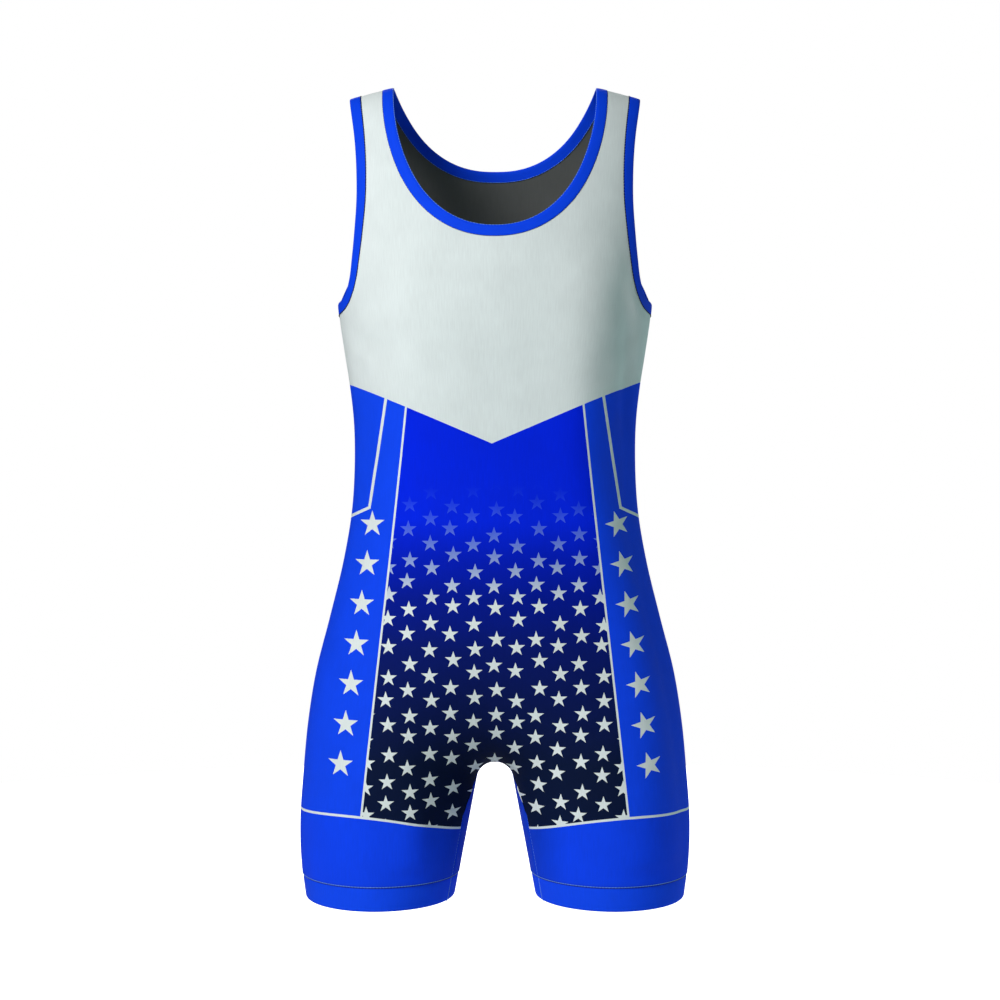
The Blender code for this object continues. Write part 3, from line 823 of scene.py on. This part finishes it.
# Soft folds, in millimetres: their width, depth (a minus is a trough) and points.
frontFolds = [
    # first the long fullness down each side, and the hollows beside it
    (33, 9.0, (94, -99, -205), (87, -102, -250), (84, -99, -300), (86, -91, -385),
     (110, -87, -480), (138, -83, -590), (150, -85, -690), (150, -87, -760)),
    (38, 3.2, (-94, -99, -200), (-84, -104, -250), (-80, -98, -330), (-86, -94, -460),
     (-110, -94, -580)),
    (15, -4.9, (127, -77, -224), (131, -71, -245), (134, -62, -290), (133, -50, -345)),
    (15, -3.2, (134, -58, -255), (133, -49, -320), (132, -47, -385), (142, -50, -480),
     (166, -50, -590), (178, -46, -700), (180, -42, -780)),
    (20, 4.8, (-82, -99, -690), (-80, -92, -740), (-79, -84, -790)),
    (18, -1.2, (-140, -62, -250), (-131, -57, -330), (-136, -56, -470)),
    (9, -0.9, (150, -45, -250), (105, -105, -285)),
    (10, -1.0, (-150, -45, -246), (-100, -105, -290)),
    (7, 0.6, (146, -50, -268), (112, -98, -312)),
    (8, 0.6, (-147, -50, -270), (-115, -98, -305)),
    (9, -1.1, (52, -85, -668), (112, -108, -640)),
    (10, -1.2, (-50, -85, -670), (-118, -108, -634)),
    (7, 0.7, (55, -85, -690), (102, -105, -678)),
    (7, 0.6, (-56, -85, -688), (-108, -105, -672)),
    (9, -0.7, (-140, -40, -372), (-85, -95, -384)),
    (8, -0.6, (140, -40, -380), (90, -95, -374)),
    (8, 0.6, (-141, -40, -398), (-95, -92, -404)),
]
backFolds = [
    (10, -1.4, (148, 45, -248), (92, 98, -282)),
    (9, -1.3, (-148, 45, -252), (-98, 98, -276)),
    (8, 0.9, (146, 50, -270), (106, 92, -314)),
    (10, -1.5, (-110, 85, -372), (20, 93, -380)),
    (9, -1.4, (-30, 93, -398), (115, 80, -404)),
    (9, 1.0, (-95, 85, -420), (60, 92, -424)),
    (9, -1.1, (-125, 75, -446), (-20, 96, -440)),
    (9, -1.6, (55, 90, -704), (150, 90, -690)),
    (10, -1.7, (-52, 90, -706), (-145, 92, -688)),
    (8, 1.0, (58, 90, -722), (120, 95, -716)),
    (8, 0.9, (-60, 90, -724), (-128, 93, -712)),
]


def foldHeights(points, facing):
    # how far each point rises or sinks; a fold fades towards both its ends
    left, stays = panel["foldEnds"]
    heights = np.zeros(len(points))
    for width, depth, *line in frontFolds if facing == 1 else backFolds:
        line = np.array(line) * mm
        stops = lengthsAlong(line)
        nearest = np.full(len(points), np.inf)
        share = np.zeros(len(points))
        for start, end, stop, far in zip(line, line[1:], stops, stops[1:]):
            along = np.clip((points - start) @ (end - start) / (far - stop) ** 2, 0, 1)
            away = np.linalg.norm(points - start - along[:, None] * (end - start), axis=1)
            closer = away < nearest
            nearest[closer] = away[closer]
            share[closer] = (stop + along * (far - stop))[closer] / stops[-1]
        fades = left + (1 - left) * np.sin(math.pi * (stays + (1 - 2 * stays) * share))
        heights += depth * mm * fades * np.exp(-((nearest / (width * mm)) ** 2))
    return heights


def makePanel(name, facing, materials):
    places = panelPlaces(facing)
    points = clothPoint(places[..., 0], places[..., 1])
    points[..., 1] = facing * np.minimum(points[..., 1] * facing, -seams["gap"])
    bm = layGrid(points, panelMap(places), panelDips())
    mirrorHalf(bm)
    turnOutwards(bm, (0, -facing * 0.1, -0.4), (0, -facing, 0))
    edges = [vert for vert in bm.verts if vert.is_boundary]
    tree = KDTree(len(edges))
    for number, vert in enumerate(edges):
        tree.insert(vert.co, number)
    tree.balance()
    fromEdge = np.array([tree.find(vert.co)[2] for vert in bm.verts])
    keeps = smoothRise(*panel["foldsGrow"], fromEdge)
    heights = foldHeights(np.array([vert.co for vert in bm.verts]), facing)
    moveAlongNormals(bm, keeps * heights)
    return finishPiece(name, bm, materials, panel["wall"])


frontCloth = makePanel("frontPanelCloth", 1, (printFront, insideShadeKnit))
backCloth = makePanel("backPanelCloth", -1, (printBack, insideShadeKnit))
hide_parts("front_panel")
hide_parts("back_panel")
print("panels laid")

# The strip between the thighs, from one hem over the crotch to the other.


def makeGusset():
    shares = spaced(lengths["halfGusset"], counts["gusset"], last=True)
    shares = [*-shares[:0:-1], *shares]
    stations = seamStations()
    points = []
    for along in stations:
        for share in shares:
            facing, spare = 1 if share <= 0 else -1, -seams["gap"] if abs(share) == 1 else 0
            points.append(clothPoint(*gussetPlace(along, abs(share), facing, spare)))
    points = np.array(points).reshape(len(stations), len(shares), 3)
    row, column = np.mgrid[0 : len(stations), 0 : len(shares)]
    dips = seamDips(column, len(shares) - 1 - column, len(stations) - 1 - row)
    bm = layGrid(points, stripMap(points), dips)
    mirrorHalf(bm)
    turnOutwards(bm, (0, 0, -body["crotch"]), (0, 0, -1))
    moveAlongNormals(bm)
    return finishPiece("gussetCloth", bm, (gussetKnit, insideShadeKnit), panel["wall"])


gussetCloth = makeGusset()
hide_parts("inner_thigh_gusset")
print("gusset laid")

# Folded bindings round the neck and the armholes.

binding = {
    "width": 11.5 * mm,
    "stations": 90,  # on each of the front and the back edge
    "wall": 0.35 * mm,
    "cornerReach": 6 * mm,  # at the shoulder seam the fold's corner is rounded off
    "cornerDepth": 0.15,
    "section": (  # millimetres from the fold, and out from the cloth's face
        (10.2, 0.05), (11.3, 0.12), (11.5, 0.30), (11.2, 0.50), (9.5, 0.55), (7, 0.60), (4, 0.62),
        (1.6, 0.55), (0.5, 0.15), (0, -0.55), (0.5, -1.25), (1.6, -1.65), (5, -1.70), (11.5, -1.60),
    ),
    "faceRow": 6,  # a row of the section on the outer face
    "faceStations": (0, 60),  # where the neck's and an armhole's face forwards
}


def bindingEdges(edgeOf, outwards):
    edges = []
    for facing in (1, -1):
        finished = edgeOf(facing, binding["stations"])
        sewn = inset(finished, binding["width"], outwards)
        corner = np.clip(1 - np.abs(finished[:, 1:]) / binding["cornerReach"], 0, 1) ** 2
        edges.append((finished + (sewn - finished) * corner * binding["cornerDepth"], sewn))
    return edges


def bindingLine(edges, fromFold, out):
    # along half a binding, from the front over to the back
    halves = []
    for finished, sewn in edges:
        places = finished + (sewn - finished) * (fromFold * mm / binding["width"])
        halves.append(clothPoint(*places.T) + clothNormal(*places.T) * (out * mm))
    return np.concatenate([halves[0], halves[1][-2::-1]])


def makeBinding(name, points, side, station, material):
    # side is 0 for the binding that goes on over the centre
    points = points * (side or 1, 1, 1)
    bm = layGrid(points, stripMap(points)[..., ::-1])
    if not side:
        mirrorHalf(bm)
    turnOutwards(bm, points[binding["faceRow"], station], (0, -1, 0))
    return finishPiece(name, bm, (material,), binding["wall"], sharpAngle=60)


neckEdges, armholeEdges = bindingEdges(neckEdge, 1), bindingEdges(armholeEdge, -1)
neckPoints = np.array([bindingLine(neckEdges, *at) for at in binding["section"]])
armholePoints = np.array([bindingLine(armholeEdges, *at) for at in binding["section"]])
neckStation, armholeStation = binding["faceStations"]
neckCloth = makeBinding("neckBindingCloth", neckPoints, 0, neckStation, bindingKnit)
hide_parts("neck_binding")
bothSides = {"left": 1, "right": -1}
armholeCloths = {}
for sideName, side in bothSides.items():
    name = f"armholeBindingCloth_{sideName}"
    cloth = makeBinding(name, armholePoints, side, armholeStation, armholeKnit)
    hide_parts(f"armhole_binding_{sideName}")
    armholeCloths[sideName] = cloth
print("bindings folded")

# Turned-up hem bands.

hemBand = {
    "wall": 0.6 * mm,
    "section": (  # millimetres below the hem seam, and in from the thigh's face
        (-2.2, 2.0), (-0.6, 1.9), (0.1, 1.50), (0.6, 1.15), (1.4, 0.85), (2.6, 0.60), (4.5, 0.42),
        (7.0, 0.36), (10.5, 0.36), (14.0, 0.36), (17.5, 0.35), (20.5, 0.34), (22.4, 0.42),
        (23.3, 0.75), (23.8, 1.35), (23.9, 2.0), (23.5, 2.65), (22.6, 3.0), (20.5, 3.1),
        (16.0, 3.1), (11.0, 3.1), (6.0, 3.1), (2.0, 3.0),
    ),
    "innerColumns": 12,
    "outerColumns": 56,
    "joinDips": {0: 0.55, 1: 0.25, -1: 0.25},  # how deep the join sinks in, at it and beside it
    "joinWithin": (1, 2.5),  # from this far below the seam, and no further in than this
    "joinRows": (4, 14),  # rows of the section that the join's stitches go down
    "face": (5, 40),  # a row and a column on the outer face
}


def hemRing(below, inwards):
    # one closed line round a thigh, from the inside round the front and the back
    drop = body["hemSeam"] + below * mm
    inner = spaced(lengths["halfGusset"], hemBand["innerColumns"], last=True)
    inner = body["gussetAngle"] * inner
    outer = spaced(lengths["halfHem"], hemBand["outerColumns"], first=True)
    outer = body["gussetAngle"] + (math.pi - body["gussetAngle"]) * outer
    angles = np.concatenate([inner, outer[1:]])
    middle = thighMiddle(drop)
    front, back = (clothPoint(*thighPlace(angles, drop, facing).T) for facing in (1, -1))
    ring = np.concatenate([front, back[-2::-1]])
    inwards = np.full(len(ring), inwards)
    join, (lowest, deepest) = hemBand["innerColumns"], hemBand["joinWithin"]
    if below > lowest:
        for off, dip in hemBand["joinDips"].items():
            inwards[join + off] += dip if inwards[join] < deepest else 0
    scale = 1 - inwards * mm / (halfWidth(drop) - middle)
    ring[:, 0] = middle + (ring[:, 0] - middle) * scale
    ring[:, 1] *= scale
    return ring


hemPoints = np.array([hemRing(*at) for at in hemBand["section"]])
hemCloths = {}
for sideName, side in bothSides.items():
    points = hemPoints * (side, 1, 1)
    bm = layGrid(points, stripMap(points))
    near = points[hemBand["face"]]
    turnOutwards(bm, near, near - (side * thighMiddle(body["hemEdge"]), 0, near[2]))
    cloth = finishPiece(f"hemBandCloth_{sideName}", bm, (hemKnit,), hemBand["wall"], sharpAngle=60)
    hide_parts(f"hem_band_{sideName}")
    hemCloths[sideName] = cloth
print("hem bands turned up")

# Stitching: short stitches laid along the seams and the bindings, and rows of them that paint
# shadow and highlight lines.

stitching = {
    "spacing": 3.1 * mm,
    "light": (1.3 * mm, 0.27 * mm),  # half a stitch's length and half its thickness
    "hem": (1.7 * mm, 0.33 * mm),
    "underHem": (1.9 * mm, 0.5 * mm),
    # the sizes of the painted shadow lines at the bindings' sewn edges
    "dark": (1.9 * mm, 0.6 * mm),
    "darkFine": (1.75 * mm, 0.25 * mm),
    # millimetres from a binding's fold and out, or below the hem seam and in; size, thread
    # the neck's first row, on the fold, is a painted highlight; its darkFine row is a painted
    # shadow at the sewn edge
    "neckRows": [(0.35, 0.12, "light", 0), (11.7, 0.15, "darkFine", 1), (11.2, -1.75, "light", 0)],
    "armholeRows": [(12.0, 0.25, "dark", 1), (11.2, -1.75, "light", 0)],
    # the second hem row is a painted shadow under the hem seam
    "hemRows": [(-0.5, 0.05, "hem", 0), (0.5, 0.75, "underHem", 2)],
    "joinOut": 0.15 * mm,
    "sink": 0.4 * mm,  # how deep the stitches of a seam lie
    "sideSink": 0.15 * mm,
    "sideEnds": (14 * mm, 2 * mm),  # how far the side seam's stitches stop short
    "sidePoints": 160,
    "shoulder": (0.02, 0.98, 24),
}


def sewRow(line, length, radius):
    # one stitch, repeated and bent along a line of points
    path = bpy.data.curves.new("seamPath", "CURVE")
    path.dimensions = "3D"
    spline = path.splines.new("POLY")
    spline.points.add(len(line) - 1)
    spline.points.foreach_set("co", np.column_stack([line, np.ones(len(line))]).ravel())
    seam = addObject("seamPath", path)

    bm = bmesh.new()
    size = Matrix.Diagonal((length, radius, radius, 1)) @ Matrix.Rotation(quarter, 4, "Y")
    onSide = Matrix.Translation((stitching["spacing"] / 2, 0, 0)) @ size
    bmesh.ops.create_uvsphere(bm, u_segments=6, v_segments=4, radius=1, matrix=onSide)
    stitch = addObject("stitch", meshOf("stitch", bm))
    repeat = stitch.modifiers.new("repeat", "ARRAY")
    repeat.fit_type = "FIT_CURVE"
    repeat.curve = seam
    repeat.use_relative_offset = False
    repeat.use_constant_offset = True
    repeat.constant_offset_displace = (stitching["spacing"], 0, 0)
    bend = stitch.modifiers.new("bend", "CURVE")
    bend.object = seam
    row = settledMesh(stitch)
    bpy.data.objects.remove(stitch)
    bpy.data.objects.remove(seam)
    return row


def makeStitching(name, sides, rows):
    # rows: a line, the size of its stitches and the number of its thread
    bm = bmesh.new()
    for side in sides:
        for line, size, number in rows:
            done = len(bm.faces)
            bm.from_mesh(sewRow(line * (side, 1, 1), *stitching[size]))
            bm.faces.ensure_lookup_table()
            for face in bm.faces[done:]:
                face.material_index, face.smooth = number, True
    return finishPiece(name, bm, threads)


def gussetLine(facing):
    # where the insert is sewn to a panel
    places = np.array([gussetPlace(along, 1, facing) for along in seamStations()])
    return clothPoint(*places.T) - clothNormal(*places.T) * stitching["sink"]


def joinLine():
    # down the outer face of a hem band, where its ends are joined
    points = hemPoints[slice(*hemBand["joinRows"]), hemBand["innerColumns"]]
    away = points - [thighMiddle(body["hemEdge"]), 0, 0]
    away[:, 2] = 0
    return points + away / np.linalg.norm(away, axis=1, keepdims=True) * stitching["joinOut"]


def sideLine():
    top, bottom = stitching["sideEnds"]
    drops = np.linspace(body["armpit"] + top, body["hemSeam"] - bottom, stitching["sidePoints"])
    across = halfWidth(drops) - stitching["sideSink"]
    return np.stack([across, 0 * drops, -drops], axis=-1)


def shoulderLine():
    # over a strap's top, from the neck's binding to the armhole's
    ends = [bindingLine(edges, 11.5, 0)[binding["stations"]] for edges in (neckEdges, armholeEdges)]
    along = np.linspace(*stitching["shoulder"])[:, None]
    return ends[0] + (ends[1] - ends[0]) * along - (0, 0, stitching["sink"])


def rowsOf(kind, lineAt, *edges):
    return [(lineAt(*edges, *at), size, number) for *at, size, number in stitching[kind]]


armholeRows = rowsOf("armholeRows", bindingLine, armholeEdges)
hemRows = [*rowsOf("hemRows", hemRing), (joinLine(), "hem", 0)]
neckStitching = makeStitching("neckStitching", (1, -1), rowsOf("neckRows", bindingLine, neckEdges))
armholeStitching, hemStitching = {}, {}
for sideName, side in bothSides.items():
    name = f"armholeStitching_{sideName}"
    armholeStitching[sideName] = makeStitching(name, (side,), armholeRows)
    hemStitching[sideName] = makeStitching(f"hemStitching_{sideName}", (side,), hemRows)
gussetRows = [(gussetLine(facing), "light", 0) for facing in (1, -1)]
gussetStitching = makeStitching("gussetStitching", (1, -1), gussetRows)
sideRows = [(sideLine(), "light", 0), (shoulderLine(), "light", 0)]
sideStitching = makeStitching("sideStitching", (1, -1), sideRows)
print("stitched")

# The camera, the light and the floor.

studio = {
    "camera": (0.0051, -1.95, -0.421),
    "lens": 68.8,
    "sensor": 36,
    "centre": (0, 0, -0.41),
    "lightDistance": 2.5,
    "lights": {  # degrees round from the front and up, watts a square metre there, size, colour
        "key": (-34, 29, 2.78, 0.9, (1.0, 0.92, 0.94)),
        "fill": (-4, 8, 0.32, 2.0, (0.66, 1.0, 0.985)),
        "side": (114, 5, 0.70, 1.2, (0.66, 1.0, 0.985)),
        "back": (180, 28, 2.2, 1.2, (0.95, 0.98, 1.0)),
    },
    "world": 0.06,
    "worldTint": (0.75, 1.0, 0.99, 1),
    "floor": (0, 0.3, -0.95),
    "floorRadius": 1.6,
    "floorPaint": (0.9, 0.9, 0.9, 1),
}
scene = bpy.context.scene
for name, (azimuth, height, fall, size, colour) in studio["lights"].items():
    light = bpy.data.lights.new(name, "AREA")
    light.size = size
    light.color = colour
    light.energy = math.pi * studio["lightDistance"] ** 2 * fall
    turn, rise = math.radians(azimuth), math.radians(height)
    level = math.cos(rise)
    away = Vector((math.sin(turn) * level, -math.cos(turn) * level, math.sin(rise)))
    lamp = addObject(name, light)
    lamp.location = Vector(studio["centre"]) + away * studio["lightDistance"]
    lamp.rotation_euler = away.to_track_quat("Z", "Y").to_euler()

world = bpy.data.worlds.new("studio")
scene.world = world
world.use_nodes = True
tree = world.node_tree
seen = addNode(tree, "LightPath").outputs["Is Camera Ray"]
strength = remap(tree, seen, 0, 1, studio["world"], 1)
backdrop = tree.nodes["Background"]
tint = mixed(tree, seen, studio["worldTint"], (1, 1, 1, 1))
tree.links.new(tint, backdrop.inputs["Color"])
tree.links.new(strength, backdrop.inputs["Strength"])

bm = bmesh.new()
place = Matrix.Translation(studio["floor"])
bmesh.ops.create_circle(bm, cap_ends=True, segments=96, radius=studio["floorRadius"], matrix=place)
floor = addObject("floor", meshOf("floor", bm))
paint, tree = newMaterial("floorPaint")
shader = tree.nodes["Principled BSDF"]
shader.inputs["Base Color"].default_value = studio["floorPaint"]
shader.inputs["Roughness"].default_value = 0.9
shader.inputs["Emission Color"].default_value = (1, 1, 1, 1)
seen = addNode(tree, "LightPath").outputs["Is Camera Ray"]
tree.links.new(seen, shader.inputs["Emission Strength"])
floor.data.materials.append(paint)

lens = bpy.data.cameras.new("camera")
lens.lens = studio["lens"]
lens.sensor_width = studio["sensor"]
camera = addObject("camera", lens)
camera.location = studio["camera"]
camera.rotation_euler = (quarter, 0, 0)
scene.camera = camera
scene.view_settings.view_transform = "Standard"
print("studio set")

for sideName in bothSides:
    cloth, sewn = armholeCloths[sideName], armholeStitching[sideName]
    cloth, sewn = hemCloths[sideName], hemStitching[sideName]
